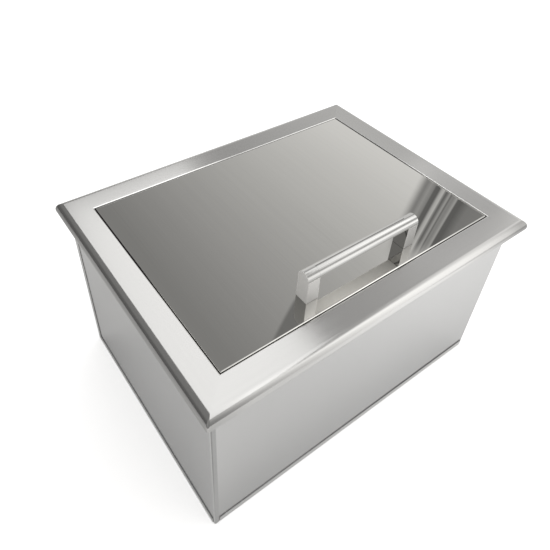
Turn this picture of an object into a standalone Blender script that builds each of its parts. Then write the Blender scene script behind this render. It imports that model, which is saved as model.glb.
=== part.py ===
# Drop-in ice bin of welded stainless sheet: a bullnose rim frame, an insulated
# tub with a drain, lapped outer panels and a lift-off lid with a bar handle.
# Metres, +Z up, handle side towards -Y, base standing on z = 0.

import math

import bmesh
import bpy
from mathutils import Matrix, Vector

for old in list(bpy.data.objects):
    bpy.data.objects.remove(old, do_unlink=True)

# Overall sizes
OVERALL_WIDTH = 0.6096
OVERALL_DEPTH = 0.4636
RIM_HEIGHT = 0.3330
SEAT = 0.0003
CUT_OVERRUN = 0.0020

# Rim frame
RIM_SHEET = 0.0015
RIM_BEND = 0.0022
NOSE_RADIUS = 0.0125
NOSE_LOWER_RADIUS = 0.0100
NOSE_RETURN = 0.0007
RIM_FLAT = 0.0358
LEDGE_DEPTH = 0.0190

# Outer body
SIDE_OVERHANG = 0.0148
END_OVERHANG = 0.0208
PANEL_SHEET = 0.0010
PANEL_BEND = 0.0024
SIDE_PANEL_LAP = 0.0080
END_PANEL_LAP = 0.0125
PAN_SHEET = 0.0012
PAN_BEND = 0.0020
PAN_LIP = 0.0135
PAN_RELIEF = 0.0025

# Inner tub
TUB_SHEET = 0.0012
TUB_LEDGE = 0.0127
TUB_FLANGE_OVERLAP = 0.0080
TUB_CORNER_RADIUS = 0.0254
TUB_BEND = 0.0024
TUB_COVE_RADIUS = 0.0190
FLOOR_PITCH = 0.0080
BASE_INSULATION = 0.0380
SUMP_RADIUS = 0.0500
SUMP_DEPTH = 0.0030
SUMP_SLOPE = 0.0015

# Drain
DRAIN_TUBE_RADIUS = 0.0167
DRAIN_TUBE_WALL = 0.0034
DRAIN_FLANGE_RADIUS = 0.0430
DRAIN_FLANGE_THICKNESS = 0.0014
DRAIN_HOLE_CLEARANCE = 0.0010
DRAIN_CUP_RADIUS = 0.0265
DRAIN_CUP_DEPTH = 0.0150
DRAIN_CUP_WALL = 0.0016
STRAINER_SEAT_WIDTH = 0.0030
DRAIN_TAIL_RISE = 0.0025
GASKET_THICKNESS = 0.0012
LOCKNUT_THICKNESS = 0.0080
LOCKNUT_MARGIN = 0.0065
NUT_POCKET_CLEARANCE = 0.0030
STRAINER_THICKNESS = 0.0012
STRAINER_DROP = 0.0008
STRAINER_HOLE = 0.0022
STRAINER_PITCH = 0.0068

# Lid
LID_GAP = 0.0015
LID_SHEET = 0.0012
LID_BEND = 0.0020
LINER_SHEET = 0.0010
LINER_BEND = 0.0020
LINER_FLANGE = 0.0100

# Handle
HANDLE_LENGTH = 0.2100
HANDLE_THICKNESS = 0.0220
HANDLE_HEIGHT = 0.0520
HANDLE_FINGER_ROOM = 0.0392
HANDLE_SETBACK = 0.0332
POST_WIDTH = 0.0205
BAR_CHAMFER = 0.0016
POST_EDGE = 0.0005
BACKING_THICKNESS = 0.0030
BACKING_MARGIN = 0.0090
SCREW_RADIUS = 0.0025
SCREW_HEAD_RADIUS = 0.0045
SCREW_HEAD_THICKNESS = 0.0028
SCREW_REACH = 0.0120
SCREW_SPACING = 0.0110
POCKET_CLEARANCE = 0.0010


def material(name, colour, metallic, roughness):
    made = bpy.data.materials.new(name)
    made.use_nodes = True
    shader = made.node_tree.nodes["Principled BSDF"]
    shader.inputs["Base Color"].default_value = (*colour, 1.0)
    shader.inputs["Metallic"].default_value = metallic
    shader.inputs["Roughness"].default_value = roughness
    made.diffuse_color = (*colour, 1.0)
    return made


BRUSHED = ((0.62, 0.61, 0.59), 1.0, 0.32)
SATIN = ((0.56, 0.56, 0.55), 1.0, 0.38)
POLISHED = ((0.68, 0.68, 0.67), 1.0, 0.18)
FOAM = ((0.86, 0.78, 0.52), 0.0, 0.9)
RUBBER = ((0.05, 0.05, 0.055), 0.0, 0.7)
ZINC = ((0.48, 0.49, 0.50), 1.0, 0.42)


def finish(name, mesh_data, look, smooth_angle=math.radians(32)):
    """Turn a bmesh into a named object with its own material and clean shading."""
    bmesh.ops.remove_doubles(mesh_data, verts=mesh_data.verts, dist=0.00002)
    bmesh.ops.recalc_face_normals(mesh_data, faces=mesh_data.faces)
    for face in mesh_data.faces:
        face.smooth = True
    for edge in mesh_data.edges:
        if len(edge.link_faces) == 2:
            edge.smooth = edge.calc_face_angle(0.0) < smooth_angle
    mesh = bpy.data.meshes.new(name)
    mesh_data.to_mesh(mesh)
    mesh_data.free()
    made = bpy.data.objects.new(name, mesh)
    bpy.context.collection.objects.link(made)
    mesh.materials.append(material(name + "_finish", *look))
    return made


def arc(centre, radius, start, end, steps):
    """Points on an arc in a two-dimensional profile, both ends included."""
    return [
        (
            centre[0] + radius * math.cos(start + (end - start) * step / steps),
            centre[1] + radius * math.sin(start + (end - start) * step / steps),
        )
        for step in range(steps + 1)
    ]


def extruded(points, travel):
    """Closed prism: a face through the points, extruded along the travel vector."""
    made = bmesh.new()
    face = made.faces.new([made.verts.new(point) for point in points])
    grown = bmesh.ops.extrude_face_region(made, geom=[face])
    moved = [item for item in grown["geom"] if isinstance(item, bmesh.types.BMVert)]
    bmesh.ops.translate(made, verts=moved, vec=travel)
    return made, moved


def lathed(name, profile, look, steps=32):
    """Closed ring or disc: a profile of (radius, height) spun about the drain axis."""
    made = bmesh.new()
    ring = [made.verts.new((radius, 0.0, height)) for radius, height in profile]
    edges = [made.edges.new((ring[index - 1], ring[index])) for index in range(len(ring))]
    bmesh.ops.spin(
        made,
        geom=ring + edges,
        cent=(0.0, 0.0, 0.0),
        axis=(0.0, 0.0, 1.0),
        angle=math.tau,
        steps=steps,
        use_merge=True,
        use_duplicate=False,
    )
    return finish(name, made, look)


def cutter(name, target, radius, low, high, places, sides=16):
    """Round cutters at the given places, taken out of the target."""
    made = bmesh.new()
    for place in places:
        bmesh.ops.create_cone(
            made,
            cap_ends=True,
            segments=sides,
            radius1=radius,
            radius2=radius,
            depth=high - low,
            matrix=Matrix.Translation((place[0], place[1], (low + high) / 2)),
        )
    return subtract(name, target, made)


def subtract(name, target, mesh_data):
    mesh = bpy.data.meshes.new(name)
    mesh_data.to_mesh(mesh)
    mesh_data.free()
    tool = bpy.data.objects.new(name, mesh)
    bpy.context.collection.objects.link(tool)
    tool.hide_render = True
    tool.display_type = "WIRE"
    step = target.modifiers.new(name, "BOOLEAN")
    step.operation = "DIFFERENCE"
    step.solver = "EXACT"
    step.object = tool
    return tool


def block(made, low, high):
    """Add a box between two corners to a bmesh."""
    size = Vector(high) - Vector(low)
    middle = (Vector(high) + Vector(low)) / 2
    place = Matrix.Translation(middle) @ Matrix.Diagonal((*size, 1.0))
    bmesh.ops.create_cube(made, size=1.0, matrix=place)


# Rim frame: four rails of one folded section, mitred at the corners. The section
# runs from the skirt beside the lid, over the flat, round the nose to the return.
opening_x = OVERALL_WIDTH / 2 - NOSE_RADIUS - RIM_FLAT
opening_y = OVERALL_DEPTH / 2 - NOSE_RADIUS - RIM_FLAT
skirt_foot = RIM_HEIGHT - LEDGE_DEPTH + SEAT
nose_middle = RIM_HEIGHT - NOSE_RADIUS
nose_foot = nose_middle - NOSE_LOWER_RADIUS


def rim_section():
    bend_centre = (RIM_BEND, RIM_HEIGHT - RIM_BEND)
    nose_centre = (RIM_FLAT, nose_middle)
    lower_centre = (RIM_FLAT + NOSE_RADIUS - NOSE_LOWER_RADIUS, nose_middle)
    outside = [(0.0, skirt_foot)]
    outside += arc(bend_centre, RIM_BEND, math.pi, math.pi / 2, 4)
    outside += arc(nose_centre, NOSE_RADIUS, math.pi / 2, 0.0, 8)
    outside += arc(lower_centre, NOSE_LOWER_RADIUS, 0.0, -math.pi / 2, 7)[1:]
    outside += [(RIM_FLAT - NOSE_RETURN, nose_foot)]
    inside = [(RIM_FLAT - NOSE_RETURN, nose_foot + RIM_SHEET)]
    inside += arc(lower_centre, NOSE_LOWER_RADIUS - RIM_SHEET, -math.pi / 2, 0.0, 7)
    inside += arc(nose_centre, NOSE_RADIUS - RIM_SHEET, 0.0, math.pi / 2, 8)[1:]
    inside += arc(bend_centre, RIM_BEND - RIM_SHEET, math.pi / 2, math.pi, 3)
    inside += [(RIM_SHEET, skirt_foot)]
    return outside + inside


def rim_rail(name, along, across, turn):
    start = [
        (-(along + out - SEAT / 2), -(across + out), height)
        for out, height in rim_section()
    ]
    made, far_end = extruded(start, (0.0, 0.0, 0.0))
    for vert in far_end:
        vert.co.x = -vert.co.x
    bmesh.ops.rotate(
        made,
        verts=made.verts,
        cent=(0.0, 0.0, 0.0),
        matrix=Matrix.Rotation(turn, 3, "Z"),
    )
    return finish(name, made, BRUSHED)


rim_rail("rim_front", opening_x, opening_y, 0.0)
rim_rail("rim_right", opening_y, opening_x, math.pi / 2)
rim_rail("rim_back", opening_x, opening_y, math.pi)
rim_rail("rim_left", opening_y, opening_x, -math.pi / 2)

# Outer body: four panels. Each turns one corner and laps over its neighbour.
body_x = OVERALL_WIDTH / 2 - SIDE_OVERHANG
body_y = OVERALL_DEPTH / 2 - END_OVERHANG
panel_foot = PAN_SHEET + SEAT
panel_head = RIM_HEIGHT - RIM_SHEET - SEAT


def lapped_panel(name, along, across, lap, turn):
    near_end = -(along - PANEL_BEND - SEAT)
    lap_out = along + SEAT + PANEL_SHEET
    lap_in = along + SEAT
    bend_centre = (lap_out - PANEL_BEND, across - PANEL_BEND)
    outline = [(near_end, across)]
    outline += arc(bend_centre, PANEL_BEND, math.pi / 2, 0.0, 5)
    outline += [(lap_out, across - lap), (lap_in, across - lap)]
    outline += arc(bend_centre, PANEL_BEND - PANEL_SHEET, 0.0, math.pi / 2, 5)
    outline += [(near_end, across - PANEL_SHEET)]
    corners = [(side, -out, panel_foot) for side, out in outline]
    made, _ = extruded(corners, (0.0, 0.0, panel_head - panel_foot))
    bmesh.ops.rotate(
        made,
        verts=made.verts,
        cent=(0.0, 0.0, 0.0),
        matrix=Matrix.Rotation(turn, 3, "Z"),
    )
    return finish(name, made, SATIN)


lapped_panel("front_panel", body_x, body_y, END_PANEL_LAP, 0.0)
lapped_panel("right_panel", body_y, body_x, SIDE_PANEL_LAP, math.pi / 2)
lapped_panel("back_panel", body_x, body_y, END_PANEL_LAP, math.pi)
lapped_panel("left_panel", body_y, body_x, SIDE_PANEL_LAP, -math.pi / 2)

# Bottom pan: one sheet, its four lips folded up outside the panels and relieved
# at the corners so that they clear the laps.
pan_x = body_x + SEAT + PAN_SHEET
pan_y = body_y + SEAT + PAN_SHEET
side_relief = SIDE_PANEL_LAP + PAN_RELIEF
end_relief = END_PANEL_LAP + PAN_RELIEF
plain_relief = PANEL_SHEET + SEAT + PAN_SHEET + PAN_RELIEF


def bottom_pan():
    made = bmesh.new()
    outline = [
        (-pan_x + side_relief, -pan_y),
        (pan_x - plain_relief, -pan_y),
        (pan_x - plain_relief, -pan_y + end_relief),
        (pan_x, -pan_y + end_relief),
        (pan_x, pan_y - plain_relief),
        (pan_x - side_relief, pan_y - plain_relief),
        (pan_x - side_relief, pan_y),
        (-pan_x + plain_relief, pan_y),
        (-pan_x + plain_relief, pan_y - end_relief),
        (-pan_x, pan_y - end_relief),
        (-pan_x, -pan_y + plain_relief),
        (-pan_x + side_relief, -pan_y + plain_relief),
    ]
    corners = [made.verts.new((across, along, 0.0)) for across, along in outline]
    made.faces.new(corners)
    folds = [made.edges.get((corners[start], corners[start + 1])) for start in (0, 3, 6, 9)]
    for fold in folds:
        lip = bmesh.ops.extrude_edge_only(made, edges=[fold])
        raised = [item for item in lip["geom"] if isinstance(item, bmesh.types.BMVert)]
        bmesh.ops.translate(made, verts=raised, vec=(0.0, 0.0, PAN_LIP))
    bmesh.ops.bevel(made, geom=folds, offset=PAN_BEND, segments=3, profile=0.5, affect="EDGES")
    bmesh.ops.recalc_face_normals(made, faces=made.faces)
    floor = max(made.faces, key=lambda face: face.calc_area())
    if floor.normal.z > 0.0:
        bmesh.ops.reverse_faces(made, faces=made.faces)
    return finish("bottom_pan", made, SATIN)


def thicken(target, sheet):
    """Give a folded surface its sheet thickness, on the inner side."""
    step = target.modifiers.new("sheet", "SOLIDIFY")
    step.thickness = sheet
    step.offset = -1.0
    step.use_even_offset = True
    step.use_quality_normals = True


pan = bottom_pan()
thicken(pan, PAN_SHEET)
cutter(
    "pan_drain_hole",
    pan,
    DRAIN_TUBE_RADIUS + DRAIN_HOLE_CLEARANCE,
    -CUT_OVERRUN,
    PAN_SHEET + CUT_OVERRUN,
    [(0.0, 0.0)],
    sides=32,
)

# Inner tub: one welded shell with a ledge for the lid, round upright corners, a
# coved foot and a floor that falls from all sides to a round drain sump.
ledge = RIM_HEIGHT - LEDGE_DEPTH
tub_x = opening_x - TUB_LEDGE
tub_y = opening_y - TUB_LEDGE
sump_floor = PAN_SHEET + SEAT + BASE_INSULATION + SEAT + TUB_SHEET
floor_low = sump_floor + SUMP_DEPTH
floor_edge = floor_low + FLOOR_PITCH
cup_outer = DRAIN_CUP_RADIUS + DRAIN_CUP_WALL
CORNER_STEPS = 6


def rounded_ring(half_x, half_y, radius, height):
    points = []
    for quarter, (side_x, side_y) in enumerate(((1, 1), (-1, 1), (-1, -1), (1, -1))):
        centre = (side_x * (half_x - radius), side_y * (half_y - radius))
        start = quarter * math.pi / 2
        points += arc(centre, radius, start, start + math.pi / 2, CORNER_STEPS)
    return [(across, along, height) for across, along in points]


def round_ring(radius, height):
    count = 4 * (CORNER_STEPS + 1)
    turns = [math.tau * (index + 0.5) / count for index in range(count)]
    return [(radius * math.cos(turn), radius * math.sin(turn), height) for turn in turns]


def tub_side(offset):
    """Rings from the flange edge down to the drain hole, offset outwards."""
    lip = TUB_LEDGE + TUB_FLANGE_OVERLAP
    rings = [
        rounded_ring(tub_x + lip, tub_y + lip, TUB_CORNER_RADIUS + lip, ledge - offset)
    ]
    for across, height in arc(
        (TUB_BEND, ledge - TUB_BEND), TUB_BEND - offset, math.pi / 2, math.pi, 3
    ):
        rings.append(
            rounded_ring(tub_x + across, tub_y + across, TUB_CORNER_RADIUS + across, height)
        )
    for across, height in arc(
        (-TUB_COVE_RADIUS, floor_edge + TUB_COVE_RADIUS),
        TUB_COVE_RADIUS + offset,
        0.0,
        -math.pi / 2,
        5,
    ):
        rings.append(
            rounded_ring(tub_x + across, tub_y + across, TUB_CORNER_RADIUS + across, height)
        )
    rings.append(round_ring(SUMP_RADIUS + offset, floor_low - offset))
    rings.append(round_ring(SUMP_RADIUS - SUMP_SLOPE + offset, sump_floor - offset))
    rings.append(round_ring(cup_outer + DRAIN_HOLE_CLEARANCE, sump_floor - offset))
    return rings


def inner_tub():
    made = bmesh.new()
    rings = tub_side(0.0) + tub_side(TUB_SHEET)[::-1]
    loops = [[made.verts.new(point) for point in ring] for ring in rings]
    for index, loop in enumerate(loops):
        previous = loops[index - 1]
        for step in range(len(loop)):
            made.faces.new((previous[step - 1], previous[step], loop[step], loop[step - 1]))
    return finish("inner_tub", made, BRUSHED)


inner_tub()

# Insulation: a base slab and four wall slabs, notched round the tub flange.
wall_inner_x = tub_x + TUB_SHEET + SEAT
wall_inner_y = tub_y + TUB_SHEET + SEAT
wall_outer_x = body_x - PANEL_SHEET - SEAT
wall_outer_y = body_y - PANEL_SHEET - SEAT
slab_foot = PAN_SHEET + SEAT
slab_head = sump_floor - TUB_SHEET - SEAT
under_flange = ledge - TUB_SHEET - SEAT
under_flat = RIM_HEIGHT - RIM_SHEET - SEAT


def wall_slab(name, inner, outer, reach, turn):
    """Slab along +X at the front wall, turned to its own side."""
    flange_edge = inner - SEAT - TUB_SHEET + TUB_LEDGE + TUB_FLANGE_OVERLAP + SEAT
    section = [
        (inner, slab_foot),
        (outer, slab_foot),
        (outer, under_flat),
        (flange_edge, under_flat),
        (flange_edge, under_flange),
        (inner + TUB_BEND, under_flange),
        (inner, under_flange - TUB_BEND),
    ]
    corners = [(-reach, -out, height) for out, height in section]
    made, _ = extruded(corners, (2 * reach, 0.0, 0.0))
    bmesh.ops.rotate(
        made,
        verts=made.verts,
        cent=(0.0, 0.0, 0.0),
        matrix=Matrix.Rotation(turn, 3, "Z"),
    )
    return finish(name, made, FOAM)


wall_slab("foam_left", wall_inner_x, wall_outer_x, wall_outer_y, -math.pi / 2)
wall_slab("foam_right", wall_inner_x, wall_outer_x, wall_outer_y, math.pi / 2)
wall_slab("foam_front", wall_inner_y, wall_outer_y, wall_inner_x - SEAT, 0.0)
wall_slab("foam_back", wall_inner_y, wall_outer_y, wall_inner_x - SEAT, math.pi)

base_mesh = bmesh.new()
block(
    base_mesh,
    (-(wall_inner_x - SEAT), -(wall_inner_y - SEAT), slab_foot),
    (wall_inner_x - SEAT, wall_inner_y - SEAT, slab_head),
)
foam_base = finish("foam_base", base_mesh, FOAM)
nut_radius = cup_outer + LOCKNUT_MARGIN
cutter(
    "foam_drain_hole",
    foam_base,
    nut_radius / math.cos(math.pi / 6) + NUT_POCKET_CLEARANCE,
    slab_foot - CUT_OVERRUN,
    slab_head + CUT_OVERRUN,
    [(0.0, 0.0)],
    sides=32,
)

# Drain: a flanged cup and tube through the sump, a sealing ring below the flange,
# a six-sided locknut under the tub and a perforated strainer in the cup.
tube_bore = DRAIN_TUBE_RADIUS - DRAIN_TUBE_WALL
flange_foot = sump_floor + SEAT + GASKET_THICKNESS + SEAT
flange_head = flange_foot + DRAIN_FLANGE_THICKNESS
strainer_seat = flange_head - STRAINER_DROP - STRAINER_THICKNESS - SEAT
cup_foot = flange_foot - DRAIN_CUP_DEPTH

lathed(
    "drain_body",
    [
        (tube_bore, DRAIN_TAIL_RISE),
        (DRAIN_TUBE_RADIUS, DRAIN_TAIL_RISE),
        (DRAIN_TUBE_RADIUS, cup_foot),
        (cup_outer, cup_foot + DRAIN_CUP_WALL),
        (cup_outer, flange_foot),
        (DRAIN_FLANGE_RADIUS, flange_foot),
        (DRAIN_FLANGE_RADIUS, flange_head - DRAIN_FLANGE_THICKNESS / 2),
        (DRAIN_FLANGE_RADIUS - DRAIN_FLANGE_THICKNESS / 2, flange_head),
        (DRAIN_CUP_RADIUS, flange_head),
        (DRAIN_CUP_RADIUS, strainer_seat),
        (DRAIN_CUP_RADIUS - STRAINER_SEAT_WIDTH, strainer_seat),
        (DRAIN_CUP_RADIUS - STRAINER_SEAT_WIDTH, cup_foot + 2 * DRAIN_CUP_WALL),
        (tube_bore, cup_foot + DRAIN_CUP_WALL),
    ],
    POLISHED,
    steps=40,
)
lathed(
    "drain_gasket",
    [
        (cup_outer + SEAT, sump_floor + SEAT),
        (DRAIN_FLANGE_RADIUS - DRAIN_FLANGE_THICKNESS, sump_floor + SEAT),
        (DRAIN_FLANGE_RADIUS - DRAIN_FLANGE_THICKNESS, sump_floor + SEAT + GASKET_THICKNESS),
        (cup_outer + SEAT, sump_floor + SEAT + GASKET_THICKNESS),
    ],
    RUBBER,
    steps=32,
)


def locknut():
    made = bmesh.new()
    sides = 24
    head = sump_floor - TUB_SHEET - SEAT
    foot = head - LOCKNUT_THICKNESS
    rings = []
    for height in (foot, head):
        bore = []
        flats = []
        for index in range(sides):
            turn = math.tau * index / sides
            swing = (turn + math.pi / 6) % (math.pi / 3) - math.pi / 6
            reach = nut_radius / math.cos(swing)
            inner = cup_outer + SEAT
            bore.append(made.verts.new((inner * math.cos(turn), inner * math.sin(turn), height)))
            flats.append(made.verts.new((reach * math.cos(turn), reach * math.sin(turn), height)))
        rings.append((bore, flats))
    (low_bore, low_flats), (high_bore, high_flats) = rings
    for index in range(sides):
        for first, second in (
            (low_bore, high_bore),
            (high_bore, high_flats),
            (high_flats, low_flats),
            (low_flats, low_bore),
        ):
            made.faces.new((first[index - 1], first[index], second[index], second[index - 1]))
    return finish("drain_locknut", made, ZINC)


locknut()

strainer_mesh = bmesh.new()
bmesh.ops.create_cone(
    strainer_mesh,
    cap_ends=True,
    segments=40,
    radius1=DRAIN_CUP_RADIUS - SEAT,
    radius2=DRAIN_CUP_RADIUS - SEAT,
    depth=STRAINER_THICKNESS,
    matrix=Matrix.Translation((0.0, 0.0, strainer_seat + SEAT + STRAINER_THICKNESS / 2)),
)
strainer = finish("drain_strainer", strainer_mesh, POLISHED)
holes = [(0.0, 0.0)]
for ring, count in ((1, 6), (2, 12), (3, 18)):
    for index in range(count):
        turn = math.tau * (index + 0.5 * (ring - 1)) / count
        holes.append((ring * STRAINER_PITCH * math.cos(turn), ring * STRAINER_PITCH * math.sin(turn)))
holes = [place for place in holes if math.hypot(*place) < DRAIN_CUP_RADIUS - 2 * STRAINER_HOLE]
cutter(
    "strainer_holes",
    strainer,
    STRAINER_HOLE,
    strainer_seat - CUT_OVERRUN,
    strainer_seat + STRAINER_THICKNESS + CUT_OVERRUN,
    holes,
    sides=10,
)

# Lid: a folded skin flush with the rim, a foam core and a tray that closes it.
lid_x = opening_x - LID_GAP
lid_y = opening_y - LID_GAP
lid_foot = ledge + SEAT


def tray(name, half_x, half_y, floor, brim, bend, look):
    """Open sheet tray: floor outwards, walls folded to the brim, corners welded."""
    made = bmesh.new()
    corners = [
        made.verts.new((-half_x, -half_y, floor)),
        made.verts.new((half_x, -half_y, floor)),
        made.verts.new((half_x, half_y, floor)),
        made.verts.new((-half_x, half_y, floor)),
    ]
    made.faces.new(corners)
    outline = list(made.edges)
    walls = bmesh.ops.extrude_edge_only(made, edges=outline)
    moved = [item for item in walls["geom"] if isinstance(item, bmesh.types.BMVert)]
    bmesh.ops.translate(made, verts=moved, vec=(0.0, 0.0, brim - floor))
    folds = [edge for edge in made.edges if len(edge.link_faces) == 2]
    bmesh.ops.bevel(made, geom=folds, offset=bend, segments=3, profile=0.5, affect="EDGES")
    bmesh.ops.recalc_face_normals(made, faces=made.faces)
    broad = max(made.faces, key=lambda face: face.calc_area())
    if (broad.normal.z > 0.0) == (brim > floor):
        bmesh.ops.reverse_faces(made, faces=made.faces)
    return finish(name, made, look)


post_middle = HANDLE_LENGTH / 2 - POST_WIDTH / 2
handle_y = -lid_y + HANDLE_SETBACK
screw_places = [
    (side * post_middle, handle_y + end * SCREW_SPACING / 2)
    for side in (-1, 1)
    for end in (-1, 1)
]
screw_hole = SCREW_RADIUS + SEAT

skin = tray("lid_skin", lid_x, lid_y, RIM_HEIGHT, lid_foot, LID_BEND, BRUSHED)
thicken(skin, LID_SHEET)
cutter(
    "skin_screw_holes",
    skin,
    screw_hole,
    RIM_HEIGHT - LID_SHEET - CUT_OVERRUN,
    RIM_HEIGHT + CUT_OVERRUN,
    screw_places,
)

liner_x = lid_x - LID_SHEET - SEAT
liner_y = lid_y - LID_SHEET - SEAT
liner = tray(
    "lid_liner", liner_x, liner_y, lid_foot, lid_foot + LINER_FLANGE, LINER_BEND, SATIN
)
thicken(liner, LINER_SHEET)

core_x = liner_x - LINER_SHEET - SEAT
core_y = liner_y - LINER_SHEET - SEAT
core_foot = lid_foot + LINER_SHEET + SEAT
core_head = RIM_HEIGHT - LID_SHEET - SEAT
core_mesh = bmesh.new()
block(core_mesh, (-core_x, -core_y, core_foot), (core_x, core_y, core_head))
bmesh.ops.bevel(
    core_mesh,
    geom=list(core_mesh.edges),
    offset=LINER_BEND,
    segments=1,
    profile=0.5,
    affect="EDGES",
)
core = finish("lid_foam", core_mesh, FOAM)

# Handle: a half-round bar between two round-topped posts, each post held through
# the skin by two screws and a backing plate inside the lid.
crown = HANDLE_THICKNESS / 2
post_foot = RIM_HEIGHT + SEAT
spring_line = RIM_HEIGHT + HANDLE_HEIGHT - crown
bar_foot = RIM_HEIGHT + HANDLE_FINGER_ROOM
backing_head = RIM_HEIGHT - LID_SHEET - SEAT
backing_foot = backing_head - BACKING_THICKNESS
head_top = backing_foot - SEAT
head_foot = head_top - SCREW_HEAD_THICKNESS
pocket_foot = head_foot - POCKET_CLEARANCE
backing_x = POST_WIDTH / 2 + BACKING_MARGIN
backing_y = HANDLE_THICKNESS / 2 + BACKING_MARGIN

bar_section = arc((handle_y, spring_line), crown, 0.0, math.pi, 14)
bar_section += [
    (handle_y - crown, bar_foot + BAR_CHAMFER),
    (handle_y - crown + BAR_CHAMFER, bar_foot),
    (handle_y + crown - BAR_CHAMFER, bar_foot),
    (handle_y + crown, bar_foot + BAR_CHAMFER),
]
bar_half = HANDLE_LENGTH / 2 - POST_WIDTH - SEAT
bar_mesh, _ = extruded(
    [(-bar_half, along, height) for along, height in bar_section],
    (2 * bar_half, 0.0, 0.0),
)
finish("handle_bar", bar_mesh, POLISHED)

post_section = arc((handle_y, spring_line), crown, 0.0, math.pi, 14)
post_section += [(handle_y - crown, post_foot), (handle_y + crown, post_foot)]


def edge_break(target, width):
    step = target.modifiers.new("edge_break", "BEVEL")
    step.width = width
    step.segments = 1
    step.limit_method = "ANGLE"
    step.angle_limit = math.radians(50)


def handle_post(name, side):
    start = side * post_middle - POST_WIDTH / 2
    made, _ = extruded(
        [(start, along, height) for along, height in post_section],
        (POST_WIDTH, 0.0, 0.0),
    )
    post = finish(name, made, POLISHED)
    edge_break(post, POST_EDGE)
    cutter(
        name + "_holes",
        post,
        screw_hole,
        post_foot - CUT_OVERRUN,
        post_foot + SCREW_REACH + CUT_OVERRUN,
        [place for place in screw_places if place[0] * side > 0.0],
    )
    return post


def backing_plate(name, side):
    made = bmesh.new()
    middle = side * post_middle
    block(
        made,
        (middle - backing_x, handle_y - backing_y, backing_foot),
        (middle + backing_x, handle_y + backing_y, backing_head),
    )
    plate = finish(name, made, ZINC)
    cutter(
        name + "_holes",
        plate,
        screw_hole,
        backing_foot - CUT_OVERRUN,
        backing_head + CUT_OVERRUN,
        [place for place in screw_places if place[0] * side > 0.0],
    )
    return plate


handle_post("handle_post_left", -1)
handle_post("handle_post_right", 1)
backing_plate("handle_backing_left", -1)
backing_plate("handle_backing_right", 1)

pockets = bmesh.new()
for side in (-1, 1):
    block(
        pockets,
        (side * post_middle - backing_x - SEAT, handle_y - backing_y - SEAT, pocket_foot),
        (side * post_middle + backing_x + SEAT, handle_y + backing_y + SEAT, core_head + CUT_OVERRUN),
    )
subtract("core_pockets", core, pockets)


def handle_screw(name, place):
    made = bmesh.new()
    outline = [
        (0.0, head_foot),
        (SCREW_HEAD_RADIUS, head_foot),
        (SCREW_HEAD_RADIUS, head_top),
        (SCREW_RADIUS, head_top),
        (SCREW_RADIUS, post_foot + SCREW_REACH),
        (0.0, post_foot + SCREW_REACH),
    ]
    half = [made.verts.new((place[0] + out, place[1], height)) for out, height in outline]
    path = [made.edges.new((half[index], half[index + 1])) for index in range(len(half) - 1)]
    bmesh.ops.spin(
        made,
        geom=half + path,
        cent=(place[0], place[1], 0.0),
        axis=(0.0, 0.0, 1.0),
        angle=math.tau,
        steps=12,
        use_merge=True,
        use_duplicate=False,
    )
    return finish(name, made, ZINC)


screw_names = ("left_front", "left_back", "right_front", "right_back")
for label, place in zip(screw_names, screw_places):
    handle_screw("handle_screw_" + label, place)
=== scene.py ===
# Drop-in ice bin in brushed stainless steel: a folded bullnose rim, lapped body
# panels, an insulated tub with a floor drain, and a lift-off lid with a bar handle.
# Metres, +Z up, handle side towards -Y, underside of the bottom pan on z = 0.
import math

import bmesh
import bpy
from mathutils import Matrix, Vector


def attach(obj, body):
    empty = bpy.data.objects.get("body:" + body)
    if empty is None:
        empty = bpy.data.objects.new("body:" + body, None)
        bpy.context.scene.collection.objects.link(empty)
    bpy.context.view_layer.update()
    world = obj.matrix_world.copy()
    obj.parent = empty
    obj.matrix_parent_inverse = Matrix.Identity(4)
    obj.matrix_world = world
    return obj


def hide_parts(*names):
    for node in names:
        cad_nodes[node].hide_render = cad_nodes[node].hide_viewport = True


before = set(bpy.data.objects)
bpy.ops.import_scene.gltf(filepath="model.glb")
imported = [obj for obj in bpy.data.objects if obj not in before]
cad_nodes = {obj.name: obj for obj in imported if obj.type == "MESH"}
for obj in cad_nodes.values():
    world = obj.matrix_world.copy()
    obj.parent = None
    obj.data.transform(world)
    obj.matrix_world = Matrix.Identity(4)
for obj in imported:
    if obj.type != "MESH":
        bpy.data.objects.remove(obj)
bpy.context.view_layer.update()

# Camera
# It stands above the front left corner and looks down across the lid. Its place,
# turn and lens were solved from the straight edges of the rim, the lid and the body.
EYE = (-0.4515, -0.5026, 0.8995)
LOOK_RIGHT = (0.8059, -0.5909, 0.0358)
LOOK_UP = (0.3582, 0.5349, 0.7653)
LOOK_BACK = (-0.4714, -0.6039, 0.6427)

scene = bpy.context.scene
scene.view_settings.view_transform = "Standard"


def put(name, data):
    """Object with the given data, linked to the scene."""
    made = bpy.data.objects.new(name, data)
    scene.collection.objects.link(made)
    return made


lens = bpy.data.cameras.new("camera")
lens.sensor_width = 36.0
lens.lens = 35.947
lens.shift_x = 0.0204
lens.shift_y = -0.1176
lens.clip_start = 0.01
camera = put("camera", lens)
aim = Matrix((LOOK_RIGHT, LOOK_UP, LOOK_BACK)).transposed().to_4x4()
camera.matrix_world = Matrix.Translation(EYE) @ aim
scene.camera = camera

# Studio
# A white paper floor under soft light from all round. The metal sees a ceiling that is
# pale at the right and dark at the left, a screen of dark and light slats at its right
# and one broad soft glow low in front. Five lamps are flagged to reach one group each.
FLOOR_WHITE = 0.86
FLOOR_LIFT = 0.48
FLOOR_MIRRORED = 0.80
ROOM_LEFT = 0.66
ROOM_RIGHT = 1.16
ROOM_TINT = (1.0, 0.994, 0.982, 1.0)
WHITE = (1.0, 1.0, 1.0, 1.0)
SIDE_WALL = 0.36
CEILING_SLOPE = 0.6286
CEILING_MIDDLE = 0.0238
CEILING_PALEST = 0.80
FLAG_TONE = 0.20
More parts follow.
